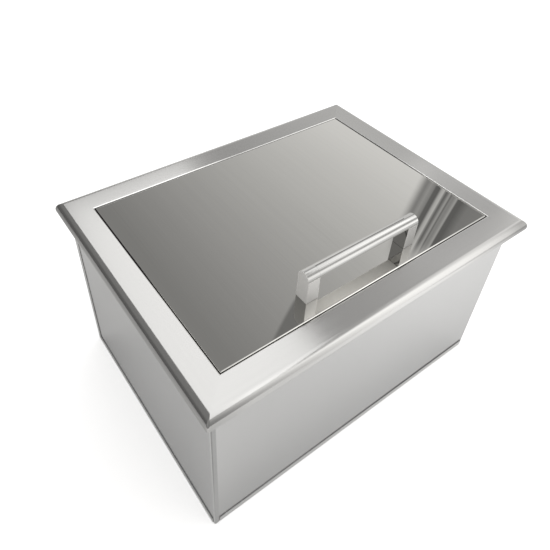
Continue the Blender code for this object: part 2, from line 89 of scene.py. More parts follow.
# turn in degrees and brightness
GLOW = (
    (-100.0, 0.30), (-76.0, 0.34), (-71.0, 0.62), (-64.0, 0.95), (-57.0, 1.22), (-48.0, 1.55),
    (-36.0, 1.56), (-20.0, 1.42), (-5.0, 1.30), (10.0, 1.14), (19.0, 1.00), (26.0, 0.56),
)
GLOW_TOP = 1.6
SLATS = (
    (24.0, 0.26), (26.3, 0.24), (26.8, 0.19), (27.3, 0.14), (27.78, 0.14), (27.98, 0.43),
    (28.1, 0.37), (28.35, 0.28), (28.6, 0.29), (28.78, 0.17), (28.92, 0.38), (29.06, 0.37),
    (29.2, 0.24), (29.42, 0.15), (29.62, 0.30), (29.78, 0.58), (30.1, 0.47), (30.25, 0.26),
    (30.38, 0.14), (30.85, 0.15), (31.0, 0.27), (31.5, 0.36), (32.0, 0.26), (32.6, 0.36),
)


def plug(target, inputs):
    """Set or link the inputs of a node, each by its name or number."""
    for key, value in inputs.items():
        if isinstance(value, bpy.types.NodeSocket):
            target.id_data.links.new(value, target.inputs[key])
        else:
            target.inputs[key].default_value = value


def node(tree, kind, inputs=(), **values):
    """Add a node, set its properties, then set or link its inputs."""
    made = tree.nodes.new(kind)
    for name, value in values.items():
        setattr(made, name, value)
    plug(made, dict(inputs))
    return made


def fed(kind, inputs, output=0, **values):
    """Output of one more node, in the tree of the sockets that feed it."""
    feeds = [value for value in inputs.values() if isinstance(value, bpy.types.NodeSocket)]
    return node(feeds[0].id_data, kind, inputs, **values).outputs[output]


def calc(operation, *values):
    """One step of arithmetic on sockets or plain numbers."""
    return fed("ShaderNodeMath", dict(enumerate(values)), operation=operation)


def product(first, *others):
    """Several sockets or numbers multiplied together."""
    for other in others:
        first = calc("MULTIPLY", first, other)
    return first


def fade(value, start, end, low=0.0, high=1.0):
    """Soft step: low before start, high after end."""
    inputs = {"Value": value, "From Min": start, "From Max": end, "To Min": low, "To Max": high}
    return fed("ShaderNodeMapRange", inputs, interpolation_type="SMOOTHSTEP")


def window(value, opening, opened, closing, closed):
    """One between two soft edges and nought outside them."""
    return product(fade(value, opening, opened), fade(value, closing, closed, 1.0, 0.0))


def blended(factor, first, second):
    """Number between the first and the second, by the factor."""
    return fed("ShaderNodeMix", {0: factor, 2: first, 3: second}, data_type="FLOAT")


def tinted(factor, first, second, blend="MIX"):
    """Colour between the first and the second, or their product, by the factor."""
    inputs = {0: factor, 6: first, 7: second}
    return fed("ShaderNodeMix", inputs, 2, data_type="RGBA", blend_type=blend)


def graded(value, stops, top=1.0):
    """Number read off a list of places and values, straight between them."""
    first, last = stops[0][0], stops[-1][0]
    share = calc("DIVIDE", calc("SUBTRACT", value, first), last - first)
    ramp = node(value.id_data, "ShaderNodeValToRGB", {0: share})
    marks = ramp.color_ramp.elements
    marks.remove(marks[1])
    for index, (place, level) in enumerate(stops):
        mark = marks[0] if index == 0 else marks.new((place - first) / (last - first))
        mark.position = (place - first) / (last - first)
        mark.color = (level / top, level / top, level / top, 1.0)
    return product(ramp.outputs[0], top)


def here(tree):
    """Place on the object itself."""
    return node(tree, "ShaderNodeTexCoord").outputs["Object"]


def split(vector):
    """The three parts of a vector."""
    return node(vector.id_data, "ShaderNodeSeparateXYZ", {0: vector}).outputs


def noise(spot, scale, detail=2.0, distortion=0.0, roughness=0.5):
    inputs = {
        "Vector": spot, "Scale": scale, "Detail": detail, "Roughness": roughness,
        "Distortion": distortion,
    }
    return fed("ShaderNodeTexNoise", inputs)


def seen_rays(tree):
    """Masks of the straight rays, and of all that show the background itself."""
    path = node(tree, "ShaderNodeLightPath").outputs
    direct = path["Is Camera Ray"]
    shown = calc("MAXIMUM", direct, path["Is Glossy Ray"])
    return direct, calc("MAXIMUM", shown, path["Is Transmission Ray"])


def lit_room():
    """World painted by direction: turn from +X and rise, both in degrees."""
    world = bpy.data.worlds.new("studio")
    world.use_nodes = True
    tree = world.node_tree
    tree.nodes.clear()
    way = node(tree, "ShaderNodeTexCoord").outputs["Generated"]
    east, north, height = split(way)
    turn = calc("DEGREES", calc("ARCTAN2", north, east))
    rise = calc("DEGREES", calc("ARCSINE", height))

    def leaning(pivot, slope):
        """Turn measured along an edge that leans off the upright."""
        lean = product(calc("SUBTRACT", rise, pivot), slope)
        return calc("SUBTRACT", turn, lean)

    # ceiling in a plane far above: paler the further to the right a ray meets it
    reach = calc("DIVIDE", east, calc("MAXIMUM", height, 0.05))
    ceiling = calc("MULTIPLY_ADD", reach, CEILING_SLOPE, CEILING_MIDDLE)
    ceiling = calc("MAXIMUM", ceiling, fade(rise, 20.0, 38.0, 0.15, 0.26))
    ceiling = calc("MINIMUM", ceiling, CEILING_PALEST)
    ceiling = blended(fade(turn, 158.0, 178.0), ceiling, SIDE_WALL)
    wall = blended(fade(turn, -6.0, 14.0), SIDE_WALL, ceiling)

    # broad glow of the soft lamps low in front, brightest a little to the right
    front = window(turn, -104.0, -96.0, 16.0, 32.0)
    front = product(front, fade(rise, 43.0, 62.0, 1.0, 0.0))
    wall = blended(front, wall, graded(turn, GLOW, GLOW_TOP))

    # dark flag high in front of the ceiling, its edge leaning a little
    flag = product(
        fade(leaning(48.6, 0.68), 45.9, 46.7, 1.0, 0.0),
        fade(turn, 40.0, 42.0), window(rise, 48.4, 49.2, 60.0, 70.0),
    )
    wall = blended(flag, wall, FLAG_TONE)

    # slats of the screen, which stand a little off the upright
    lean = leaning(35.0, 0.27)
    screen = window(lean, 22.5, 24.0, 32.1, 33.3)
    screen = product(screen, window(rise, 32.5, 34.2, 40.2, 43.0))
    wall = blended(screen, wall, graded(lean, SLATS))

    direct, seen = seen_rays(tree)
    room = fade(east, -1.0, 1.0, ROOM_LEFT, ROOM_RIGHT)
    tone = blended(direct, blended(seen, room, wall), 1.0)
    tint = tinted(direct, ROOM_TINT, WHITE)
    light = node(tree, "ShaderNodeBackground", {"Strength": tone, "Color": tint})
    node(tree, "ShaderNodeOutputWorld", {"Surface": light.outputs[0]})
    return world


scene.world = lit_room()


def soft_lamp(name, turn, rise, distance, width, height, tone, aim_at=(0.0, 0.0, 0.3)):
    """Rectangular soft lamp whose face has the given brightness."""
    data = bpy.data.lights.new(name, "AREA")
    data.shape = "RECTANGLE"
    data.size = width
    data.size_y = height
    data.energy = tone * math.pi * width * height
    lamp = put(name, data)
    turn, rise = math.radians(turn), math.radians(rise)
    flat = math.cos(rise)
    away = Vector((math.cos(turn) * flat, math.sin(turn) * flat, math.sin(rise)))
    lamp.location = Vector(aim_at) + away * distance
    lamp.rotation_euler = away.to_track_quat("Z", "Y").to_euler()
    return lamp


key_lamp = soft_lamp("lamp_key", -30.0, 48.0, 2.6, 1.5, 1.2, 0.9)
rim_strip = soft_lamp("lamp_rim_strip", 0.0, 90.0, 4.0, 1.9, 8.0, 1.14)
rim_strip.location = (1.134, 1.4, 4.33)
rim_strip.rotation_euler = (0.0, 0.0, -math.radians(7.1))
rim_fill = soft_lamp("lamp_rim_fill", 28.0, 37.3, 12.0, 1.8, 2.1, 0.33)
bend_lamp = soft_lamp("lamp_rim_bends", 45.0, 62.0, 8.0, 9.0, 1.6, 1.05)
crown_lamp = soft_lamp("lamp_handle_crown", 6.0, 55.5, 6.0, 4.0, 1.4, 0.62)
# light that the lid throws back at the underside of the handle
lid_under_bar = (0.0, -0.167, 0.3334)
bounce_lamp = soft_lamp("lamp_lid_bounce", 0.0, -90.0, 0.0, 0.168, 0.05, 1.05, lid_under_bar)
bounce_lamp.visible_camera = False
for lamp in (key_lamp, bounce_lamp):
    lamp.visible_glossy = False


def paper_floor():
    made = bpy.data.materials.new("white_paper")
    made.use_nodes = True
    tree = made.node_tree
    tree.nodes.clear()
    spot = here(tree)
    right, back, _ = split(spot)
    direct, seen = seen_rays(tree)
    mirrored = calc("SUBTRACT", seen, direct)
    fibre = noise(spot, 40.0)
    tone = fade(fibre, 0.0, 1.0, FLOOR_WHITE - 0.01, FLOOR_WHITE + 0.01)
    tone = product(tone, blended(mirrored, 1.0, FLOOR_MIRRORED))
    paper = node(tree, "ShaderNodeBsdfDiffuse", {"Color": tone})

    # painted pool of light where the front lamps glow: only the metal sees the floor brighter
    # there, most in front and to the right of the bin, less towards the back
    across = calc("MULTIPLY_ADD", back, 0.62, calc("ADD", right, 0.31))
    painted_pool = product(
        window(across, -0.2, 0.38, 0.5, 0.95),
        fade(back, -0.55, -0.30, 0.42, 0.10), fade(back, -0.22, -0.10, 1.0, 0.0),
    )
    painted_pool = calc("ADD", painted_pool, fade(back, -0.30, -0.15, 0.25, 0.15))
    painted_pool = calc("SUBTRACT", painted_pool, fade(back, 0.0, 0.4, 0.0, 0.12))
    # painted light: this glow reaches reflections only
    painted_pool = product(mirrored, painted_pool)
    lift = calc("ADD", product(direct, FLOOR_LIFT), painted_pool)
    glow = node(tree, "ShaderNodeEmission", {"Strength": lift})
    both = node(tree, "ShaderNodeAddShader", {0: paper.outputs[0], 1: glow.outputs[0]})
    node(tree, "ShaderNodeOutputMaterial", {"Surface": both.outputs[0]})
    return made


def shaped(name, source):
    """Object made of a bmesh, which is used up."""
    mesh = bpy.data.meshes.new(name)
    source.to_mesh(mesh)
    source.free()
    return put(name, mesh)


sheet = bmesh.new()
bmesh.ops.create_grid(sheet, x_segments=8, y_segments=8, size=6.0)
bmesh.ops.translate(sheet, verts=sheet.verts, vec=(0.0, 0.0, -0.0004))
floor = shaped("floor", sheet)
floor.data.materials.append(paper_floor())

# Bottom pan
# One sheet of satin stainless steel. Its four edges are folded up outside the body
# panels, relieved at the corners so that they clear the laps, and welded there.
BODY_X = 0.2900
BODY_Y = 0.2110
GAP = 0.0003
PAN_SHEET = 0.0012
PAN_BEND = 0.0020
PAN_LIP = 0.0135
PAN_X = BODY_X + GAP + PAN_SHEET
PAN_Y = BODY_Y + GAP + PAN_SHEET
LAPPED_END = 0.0150
LAPPED_SIDE = 0.0105
PLAIN_END = 0.0050
DRAIN_HOLE = 0.0177
PANEL_STEEL = (0.612, 0.610, 0.604)
GRAIN_DEPTH = 0.00002


def new_group(name, inputs, outputs, kind="ShaderNodeTree"):
    """Node group with its inputs and outputs: kind, name, then default and limits."""
    tree = bpy.data.node_groups.new(name, kind)
    for direction, sockets in (("INPUT", inputs), ("OUTPUT", outputs)):
        for kind, label, *numbers in sockets:
            kind = "NodeSocket" + kind
            socket = tree.interface.new_socket(name=label, in_out=direction, socket_type=kind)
            for key, number in zip(("default_value", "min_value", "max_value"), numbers):
                setattr(socket, key, number)
    return tree, node(tree, "NodeGroupInput").outputs


def grain_group():
    """Fine parallel lines left by an abrasive belt, with a few longer scratches."""
    inputs = (("Vector", "Stretch", (4.0, 700.0, 700.0)), ("Float", "Scratches", 0.3, 0.0, 1.0))
    outputs = (("Float", "Grain"), ("Float", "Scratch"))
    tree, given = new_group("steel grain", inputs, outputs)
    inputs = {0: here(tree), 1: given["Stretch"]}
    drawn = fed("ShaderNodeVectorMath", inputs, operation="MULTIPLY")
    total = 0.0
    for scale, share, detail in ((1.0, 0.45, 3.0), (0.27, 0.35, 2.0), (0.06, 0.20, 1.0)):
        lines = noise(drawn, scale, detail, roughness=0.6)
        total = calc("MULTIPLY_ADD", lines, share, total)
    lone = fade(noise(drawn, 0.5, 0.0), 0.74, 0.80)
    scratch = product(lone, given["Scratches"])
    node(tree, "NodeGroupOutput", {"Grain": total, "Scratch": scratch})
    return tree


def handling_group():
    """Cloudy differences of polish and faint rubbed marks from cleaning and handling."""
    outputs = (("Float", "Cloud"), ("Float", "Smudge"))
    tree, given = new_group("handling marks", [("Float", "Size", 6.0, 0.1, 100.0)], outputs)
    spot = here(tree)
    cloud = noise(spot, given["Size"], 3.0, distortion=0.6)
    marks = noise(spot, 38.0, 5.0, distortion=1.4)
    patch = fade(cloud, 0.52, 0.70)
    smudge = product(fade(marks, 0.50, 0.66), patch)
    node(tree, "NodeGroupOutput", {"Cloud": cloud, "Smudge": smudge})
    return tree


def wear_and_highlight_group():
    """Bends and cut edges, rubbed smoother than the sheet beside them and brighter: partly real
    wear, partly a painted highlight along the bends.
    """
    inputs = (
        ("Color", "Steel", (0.6, 0.6, 0.6, 1.0)), ("Color", "Rubbed", (0.75, 0.75, 0.74, 1.0)),
        ("Float", "Edge", 0.0, 0.0, 1.0), ("Float", "Roughness", 0.3, 0.0, 1.0),
    )
    outputs = (("Color", "Color"), ("Float", "Roughness"))
    tree, given = new_group("edge wear and highlight", inputs, outputs)
    chips = noise(here(tree), 160.0, 4.0)
    amount = product(given["Edge"], fade(chips, 0.25, 0.65, 0.35, 1.0))
    colour = tinted(amount, given["Steel"], given["Rubbed"])
    rough = calc("MULTIPLY_ADD", amount, -0.06, given["Roughness"])
    node(tree, "NodeGroupOutput", {"Color": colour, "Roughness": rough})
    return tree


steel_grain = grain_group()
handling_marks = handling_group()
edge_wear_and_highlight = wear_and_highlight_group()


def new_look(name, metallic=0.0):
    """New material, its shader and the place on the bin."""
    made = bpy.data.materials.new(name)
    made.use_nodes = True
    tree = made.node_tree
    shader = tree.nodes["Principled BSDF"]
    shader.inputs["Metallic"].default_value = metallic
    return made, shader, here(tree)


def uneven(value, amount):
    """Noise turned into a change of the given size, up or down."""
    return product(calc("SUBTRACT", value, 0.5), 2.0 * amount)


def relief(height, strength, distance, below=None):
    """Normal of a bump, laid over another where one is given."""
    inputs = {"Height": height, "Strength": strength, "Distance": distance}
    if below is not None:
        inputs["Normal"] = below
    return fed("ShaderNodeBump", inputs)


def steel(
    name, colour, roughness, stretch, grain_tone=0.05, grain_rough=0.06, cloud_tone=0.03,
    cloud_size=6.0, smudge_rough=0.05, scratches=0.3, bump=0.05, sway=0.0, anisotropy=0.0,
    level=None,
):
    """Stainless steel sheet: grain, clouding, rubbed edges that also carry a painted highlight,
    and faint handling marks.

    A level, where given, multiplies the colour by a number for the place on the bin: painted
    light and shade.
    """
    made, shader, spot = new_look(name, 1.0)
    tree = made.node_tree
    made.diffuse_color = (*colour, 1.0)
    inputs = {"Stretch": stretch, "Scratches": scratches}
    grain = node(tree, "ShaderNodeGroup", inputs, node_tree=steel_grain).outputs
    inputs = {"Size": cloud_size}
    marks = node(tree, "ShaderNodeGroup", inputs, node_tree=handling_marks).outputs
    tone = uneven(grain["Grain"], grain_tone)
    tone = calc("ADD", tone, uneven(marks["Cloud"], cloud_tone))
    tone = calc("MULTIPLY_ADD", grain["Scratch"], -0.10, calc("ADD", tone, 1.0))
    rough = calc("ADD", uneven(grain["Grain"], grain_rough), roughness)
    rough = calc("MULTIPLY_ADD", marks["Smudge"], smudge_rough, rough)
    inputs = {
        "Steel": tinted(1.0, (*colour, 1.0), tone, "MULTIPLY"),
        # bends and cut edges brighter: real wear and a painted highlight
        "Rubbed": (*[min(1.0, 1.12 * part) for part in colour], 1.0),
        "Edge": node(tree, "ShaderNodeAttribute", attribute_name="edge").outputs["Fac"],
        "Roughness": rough,
    }
    worn_and_highlit = node(tree, "ShaderNodeGroup", inputs, node_tree=edge_wear_and_highlight).outputs
    waves = relief(noise(spot, 4.0, 1.0), 1.0, sway) if sway else None
    lines = relief(grain["Grain"], bump, GRAIN_DEPTH, waves)
    toned = worn_and_highlit["Color"]
    if level:
        # painted light and shade: the level multiplies the colour by place
        toned = tinted(1.0, toned, level(*split(spot)), "MULTIPLY")
    inputs = {"Base Color": toned, "Roughness": worn_and_highlit["Roughness"], "Normal": lines}
    if anisotropy:
        across = node(tree, "ShaderNodeTangent", direction_type="UV_MAP", uv_map="grain")
        inputs.update({"Anisotropic": anisotropy, "Tangent": across.outputs[0]})
    plug(shader, inputs)
    return made


def lay_grain(mesh, along):
    """UV map whose first axis runs across the grain and whose second runs along it."""
    layer = mesh.uv_layers.new(name="grain")
    for face in mesh.polygons:
        axis = Vector(along)
        across = face.normal.cross(axis)
        if across.length < 0.3:
            axis = Vector((0.0, 0.0, 1.0) if abs(axis.z) < 0.5 else (1.0, 0.0, 0.0))
            across = face.normal.cross(axis)
        across.normalize()
        for corner in face.loop_indices:
            place = mesh.vertices[mesh.loops[corner].vertex_index].co
            layer.data[corner].uv = (place.dot(across), place.dot(axis))


def mark_edges(mesh):
    """Attribute that is one on tight bends and cut edges and nought on broad sheet."""
    layer = mesh.attributes.new("edge", "FLOAT", "FACE")
    made = bmesh.new()
    made.from_mesh(mesh)
    for face in made.faces:
        longest = max(edge.calc_length() for edge in face.edges)
        sides = [edge for edge in face.edges if edge.calc_length() > 0.5 * longest]
        turn = max(edge.calc_face_angle(0.0) for edge in sides)
        bend = turn * longest / face.calc_area()
        layer.data[face.index].value = min(1.0, max(0.0, bend / 200.0 - 0.8))
    made.free()


def worked(source, work):
    """Mesh of a bmesh after the modifiers that the work call adds to its object."""
    blank = shaped("blank", source)
    work(blank)
    graph = bpy.context.evaluated_depsgraph_get()
    done = bpy.data.meshes.new_from_object(blank.evaluated_get(graph))
    bpy.data.objects.remove(blank, do_unlink=True)
    return done


def as_bmesh(mesh):
    made = bmesh.new()
    made.from_mesh(mesh)
    return made


def level_shading(blank):
    """Weight normals by area, so that flats stay flat beside their bends."""
    weighted = blank.modifiers.new("weighted", "WEIGHTED_NORMAL")
    weighted.mode = "FACE_AREA"
    weighted.weight = 70
    weighted.keep_sharp = True


def finished(name, source, finish, body, stands_for, grain=(1.0, 0.0, 0.0), smooth=32.0):
    """Turn a bmesh into a piece: clean mesh, shading, grain map, material, frame calls."""
    bmesh.ops.remove_doubles(source, verts=source.verts, dist=0.00001)
    bmesh.ops.recalc_face_normals(source, faces=source.faces)
    for face in source.faces:
        face.smooth = True
    for edge in source.edges:
        if len(edge.link_faces) == 2:
            edge.smooth = edge.calc_face_angle(0.0) < math.radians(smooth)
    mesh = worked(source, level_shading)
    mesh.name = name
    lay_grain(mesh, grain)
    mark_edges(mesh)
    mesh.materials.clear()
    mesh.materials.append(finish)
    piece = put(name, mesh)
    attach(piece, body)
    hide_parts(stands_for)
    return piece


def bottom_pan():
    made = bmesh.new()
    outline = [
        (-PAN_X + LAPPED_SIDE, -PAN_Y), (PAN_X - PLAIN_END, -PAN_Y),
        (PAN_X - PLAIN_END, -PAN_Y + LAPPED_END), (PAN_X, -PAN_Y + LAPPED_END),
        (PAN_X, PAN_Y - PLAIN_END), (PAN_X - LAPPED_SIDE, PAN_Y - PLAIN_END),
    ]
    outline += [(-across, -along) for across, along in outline]
    corners = [made.verts.new((across, along, 0.0)) for across, along in outline]
    made.faces.new(corners)
    folds = [made.edges.get((corners[start], corners[start + 1])) for start in (0, 3, 6, 9)]
    for fold in folds:
        lip = bmesh.ops.extrude_edge_only(made, edges=[fold])
        raised = [item for item in lip["geom"] if isinstance(item, bmesh.types.BMVert)]
        bmesh.ops.translate(made, verts=raised, vec=(0.0, 0.0, PAN_LIP))
    bmesh.ops.bevel(made, geom=folds, offset=PAN_BEND, segments=6, profile=0.5, affect="EDGES")
    bmesh.ops.recalc_face_normals(made, faces=made.faces)

    bar = bmesh.new()
    bmesh.ops.create_cone(
        bar, cap_ends=True, segments=48, radius1=DRAIN_HOLE, radius2=DRAIN_HOLE,
        depth=0.0052, matrix=Matrix.Translation((0.0, 0.0, 0.0006)),
    )
    drill = shaped("drill", bar)

    def thicken_and_drill(blank):
        sheet = blank.modifiers.new("sheet", "SOLIDIFY")
        sheet.thickness = PAN_SHEET
        sheet.offset = -1.0
        sheet.use_even_offset = True
        sheet.use_quality_normals = True
        hole = blank.modifiers.new("hole", "BOOLEAN")
        hole.operation = "DIFFERENCE"
        hole.solver = "EXACT"
        hole.object = drill

    pan = as_bmesh(worked(made, thicken_and_drill))
    bpy.data.objects.remove(drill, do_unlink=True)
    return pan


def lip_painted_highlight(across, deep, height):
    """Painted highlight and shade: the cut head of the lips is painted bright at the left and
    darker to the right.
    """
    head = fade(height, PAN_LIP - 0.0004, PAN_LIP - 0.0001)
    # painted highlight on the lip heads, fading to painted shade at the right
    return blended(head, 1.0, fade(across, -0.25, 0.20, 1.6, 0.5))


pan_steel = steel(
    "bottom_pan_steel", PANEL_STEEL, 0.31, (5.0, 420.0, 420.0), grain_tone=0.03,
    cloud_tone=0.04, scratches=0.5, sway=0.0004, level=lip_painted_highlight,
)
finished("bottom_pan_sheet", bottom_pan(), pan_steel, "bin", "bottom_pan")

# Body panels
# Four satin sheets. Each covers one side, turns one corner in a soft bend and laps
# over the plain end of the next sheet, so a thin stepped seam runs down every corner.
PANEL_SHEET = 0.0010
PANEL_BEND = 0.0024
PANEL_FOOT = PAN_SHEET + GAP
PANEL_HEAD = 0.3312
SIDE_LAP = 0.0080
END_LAP = 0.0125
LAP_EDGE = 0.0003
QUARTER = math.pi / 2
SIDES = (("front", 0.0), ("right", QUARTER), ("back", math.pi), ("left", -QUARTER))


def arc(centre, radius, start, end, steps):
    """Points on an arc of a flat section, both ends included."""
    turns = [start + (end - start) * step / steps for step in range(steps + 1)]
    return [
        (centre[0] + radius * math.cos(turn), centre[1] + radius * math.sin(turn))
        for turn in turns
    ]


def skinned(rings, closed_ends=True):
    """Solid through rings of equal count, with flat caps at both ends or none."""
    made = bmesh.new()
    loops = [[made.verts.new(point) for point in ring] for ring in rings]
    for first, second in zip(loops, loops[1:]):
        for index in range(len(first)):
            made.faces.new((first[index - 1], first[index], second[index], second[index - 1]))
    if closed_ends:
        made.faces.new(loops[0][::-1])
        made.faces.new(loops[-1])
    return made


def turned(made, angle):
    """Turn a bmesh about the upright middle axis of the bin."""
    spin = Matrix.Rotation(angle, 3, "Z")
    bmesh.ops.rotate(made, verts=made.verts, cent=(0.0, 0.0, 0.0), matrix=spin)
    return made


def lapped_panel(along, across, lap, angle):
    near_end = -(along - PANEL_BEND - GAP)
    lap_out = along + GAP + PANEL_SHEET
    bend_centre = (lap_out - PANEL_BEND, across - PANEL_BEND)
    outline = [(near_end, across)]
    outline += arc(bend_centre, PANEL_BEND, QUARTER, 0.0, 8)
    outline += [(lap_out, across - lap + LAP_EDGE), (lap_out - LAP_EDGE, across - lap)]
    outline += [(along + GAP, across - lap)]
    outline += arc(bend_centre, PANEL_BEND - PANEL_SHEET, 0.0, QUARTER, 8)
    outline += [(near_end, across - PANEL_SHEET)]
    heights = (PANEL_FOOT, PANEL_HEAD)
    rings = [[(side, -out, height) for side, out in outline] for height in heights]
    return turned(skinned(rings), angle)


def soft_band(value, centre, half, edge):
    """One inside a band round the centre, fading to nought over the edge width."""
    away = calc("ABSOLUTE", calc("SUBTRACT", value, centre))
    return fade(away, half, half + edge, 1.0, 0.0)


def panel_painted_shade(across, deep, height):
    """Painted shade: darker towards the foot, and the narrow laps painted darker, most of all as
    a painted shadow line along their folds, less so near the foot.
    """
    side = product(across, calc("SIGN", deep))
    lap = fade(calc("ABSOLUTE", deep), BODY_Y + 0.0002, BODY_Y + 0.0008)
    lap = product(lap, fade(side, 0.2816, 0.2830))
    # painted shadow line along the fold of each lap
    dark = blended(soft_band(side, 0.2886, 0.0004, 0.0012), 0.30, 0.55)
    dark = product(dark, fade(height, 0.02, 0.20, 0.40, 1.0))
    lap = blended(product(lap, dark), 1.0, 0.0)
    # painted shade towards the foot of the panels
    return product(lap, fade(height, -0.05, 0.28, 0.78, 1.0))


panel_steel = steel(
    "body_panel_steel", PANEL_STEEL, 0.222, (300.0, 300.0, 3.0), grain_tone=0.018,
    grain_rough=0.03, cloud_tone=0.02, cloud_size=5.0, smudge_rough=0.015, scratches=0.15,
    bump=0.03, sway=0.0005, level=panel_painted_shade,
)
sheets = ((BODY_X, BODY_Y, END_LAP), (BODY_Y, BODY_X, SIDE_LAP))
for index, (label, angle) in enumerate(SIDES):
    sheet = lapped_panel(*sheets[index % 2], angle)
    finished(
        "body_sheet_" + label, sheet, panel_steel, "bin", label + "_panel",
        grain=(0.0, 0.0, 1.0),
    )

# Insulation
# Rigid yellow foam between the body and the tub, and in the lid. It is foamed in
# place, so its cut faces show small cells and a slightly darker skin.


def two_tone(value, dark, light, start=0.0, end=1.0):
    """Colour that goes straight from dark to light between two values."""
    ramp = node(value.id_data, "ShaderNodeValToRGB", {0: value})
    for mark, colour, place in zip(ramp.color_ramp.elements, (dark, light), (start, end)):
        mark.color = (*colour, 1.0)
        mark.position = place
    return ramp.outputs[0]


def cells(spot, scale):
    return fed("ShaderNodeTexVoronoi", {"Vector": spot, "Scale": scale})


def coated(names, look):
    """Give solids that need no finer piece their material."""
    for name in names:
        cad_nodes[name].data.materials.clear()
        cad_nodes[name].data.materials.append(look)


foam, shader, spot = new_look("insulation_foam")
bubbles = cells(spot, 520.0)
skin = noise(spot, 14.0, 5.0)
tone = calc("SUBTRACT", calc("MULTIPLY_ADD", bubbles, 0.35, skin), 0.1)
plug(shader, {
    "Base Color": two_tone(tone, (0.72, 0.60, 0.34), (0.88, 0.80, 0.56), 0.30, 0.70),
    "Roughness": fade(skin, 0.3, 0.7, 0.82, 0.95),
    "Specular IOR Level": 0.25,
    "Normal": relief(bubbles, 0.5, 0.0006),
})
coated(("foam_front", "foam_back", "foam_left", "foam_right", "foam_base", "lid_foam"), foam)

# Inner tub
# A welded and polished stainless well. A ledge round its head carries the lid, the
# corners and the foot are coved for cleaning, and the floor falls to a round sump.
LEDGE = 0.3140
TUB_X = 0.2438
TUB_Y = 0.1708
TUB_SHEET = 0.0012
TUB_FLANGE = 0.0207
TUB_BEND = 0.0024
TUB_CORNER = 0.0254
TUB_COVE = 0.0190
FLOOR_EDGE = 0.0520
FLOOR_LOW = 0.0440
FLOOR_STEPS = 6
SUMP_FLOOR = 0.0410
SUMP_RADIUS = 0.0500
SUMP_SLOPE = 0.0015
SUMP_HOLE = 0.0291
CORNER_STEPS = 12


def rounded_ring(half_x, half_y, radius, height):
    points = []
    for quarter, (side_x, side_y) in enumerate(((1, 1), (-1, 1), (-1, -1), (1, -1))):
        centre = (side_x * (half_x - radius), side_y * (half_y - radius))
        start = quarter * QUARTER
        points += arc(centre, radius, start, start + QUARTER, CORNER_STEPS)
    return [Vector((across, along, height)) for across, along in points]


def around(reach, turn, height):
    """Point at a reach, a turn and a height about the upright middle axis."""
    return Vector((reach * math.cos(turn), reach * math.sin(turn), height))


def round_ring(radius, height):
    count = 4 * (CORNER_STEPS + 1)
    return [around(radius, math.tau * (index + 0.5) / count, height) for index in range(count)]


def tub_rings(offset):
    """Rings from the flange edge down to the drain hole, moved outwards by the offset."""
    section = [(TUB_FLANGE, LEDGE - offset)]
    section += arc((TUB_BEND, LEDGE - TUB_BEND), TUB_BEND - offset, QUARTER, math.pi, 6)
    cove = (-TUB_COVE, FLOOR_EDGE + TUB_COVE)
    section += arc(cove, TUB_COVE + offset, 0.0, -QUARTER, 10)
    rings = [
        rounded_ring(TUB_X + out, TUB_Y + out, TUB_CORNER + out, height)
        for out, height in section
    ]
    foot = rings[-1]
    sump = round_ring(SUMP_RADIUS + offset, FLOOR_LOW - offset)
    for step in range(1, FLOOR_STEPS):
        rings.append([edge.lerp(low, step / FLOOR_STEPS) for edge, low in zip(foot, sump)])
    rings.append(sump)
    for radius in (SUMP_RADIUS - SUMP_SLOPE + offset, SUMP_HOLE):
        rings.append(round_ring(radius, SUMP_FLOOR - offset))
    return rings


def looped(rings):
    """Solid through rings that come back to the first one."""
    return skinned([*rings, rings[0]], closed_ends=False)


tub_steel = steel(
    "tub_satin_steel", (0.60, 0.595, 0.585), 0.33, (40.0, 40.0, 420.0), grain_tone=0.04,
    cloud_tone=0.05, cloud_size=7.0, smudge_rough=0.08, scratches=0.5, sway=0.0006,
)
inner_tub = looped(tub_rings(0.0) + tub_rings(TUB_SHEET)[::-1])
finished("ice_well", inner_tub, tub_steel, "bin", "inner_tub")

# Drain
# A polished cup and waste tube through the sump. A rubber ring seals under its
# flange, a zinc plated locknut draws it down, and a punched strainer drops in.
CUP_OUTER = 0.0281
CUP_RADIUS = 0.0265
CUP_FOOT = 0.0278
SEAT_RADIUS = CUP_RADIUS - 0.0030
TUBE_RADIUS = 0.0167
TUBE_BORE = 0.0133
TUBE_FOOT = 0.0025
THREADS = 9
THREAD_PITCH = 0.0021
THREAD_ROOT = TUBE_RADIUS - 0.0009
FLANGE_RADIUS = 0.0430
FLANGE_FOOT = 0.0428
FLANGE_HEAD = 0.0442
SEAL_RADIUS = FLANGE_RADIUS - 0.0014
SEAL_FOOT = 0.0413
SEAL_HEAD = 0.0425
SMALL_EDGE = 0.0003
STRAINER_RADIUS = 0.0262
STRAINER_FOOT = 0.0422
STRAINER_HEAD = 0.0434
STRAINER_HOLE = 0.0022
STRAINER_PITCH = 0.0068
NUT_FLAT = 0.0346
NUT_CORNER = NUT_FLAT + 0.0046
NUT_FOOT = 0.0315
NUT_HEAD = 0.0395
NUT_EDGE = 0.0010
FIT_RADIUS = CUP_OUTER + GAP
BORE_EDGE = 0.0006


def lathed(profile, steps=64):
    """Closed turning: a section of radius and height spun about the drain axis."""
    turns = [math.tau * step / steps for step in range(steps)]
    return looped([[around(out, turn, height) for out, height in profile] for turn in turns])


